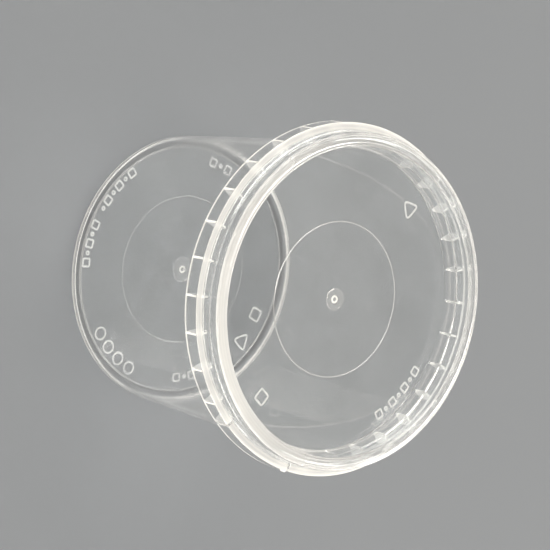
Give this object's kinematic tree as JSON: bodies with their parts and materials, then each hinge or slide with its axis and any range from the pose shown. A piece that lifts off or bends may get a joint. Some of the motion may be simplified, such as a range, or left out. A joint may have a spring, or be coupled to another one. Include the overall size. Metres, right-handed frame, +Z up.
{
  "type": "tamper-evident container",
  "caption": "Clear round tub with a tapered wall and a snap lid sunk behind a ribbed flange, part of which tears off.",
  "frame": {"origin": "centre of the foot ring, on the surface that the container stands on", "axes": "+Z up along the container's axis, +X through the middle of the tear tab"},
  "size_m": [0.1, 0.1, 0.0803],
  "materials": {
    "clear_tub": "clear, slightly hazy moulded polypropylene",
    "clear_lid": "clear, slightly hazy moulded polypropylene"
  },
  "bodies": {
    "tub": {"tub": "clear_tub"},
    "lid": {"lid": "clear_lid"}
  },
  "joints": [
    {"name": "lid_lift", "type": "slide", "parent": "tub", "child": "lid", "axis": [0, 0, 1], "range_m": [0, 0.04]}
  ]
}
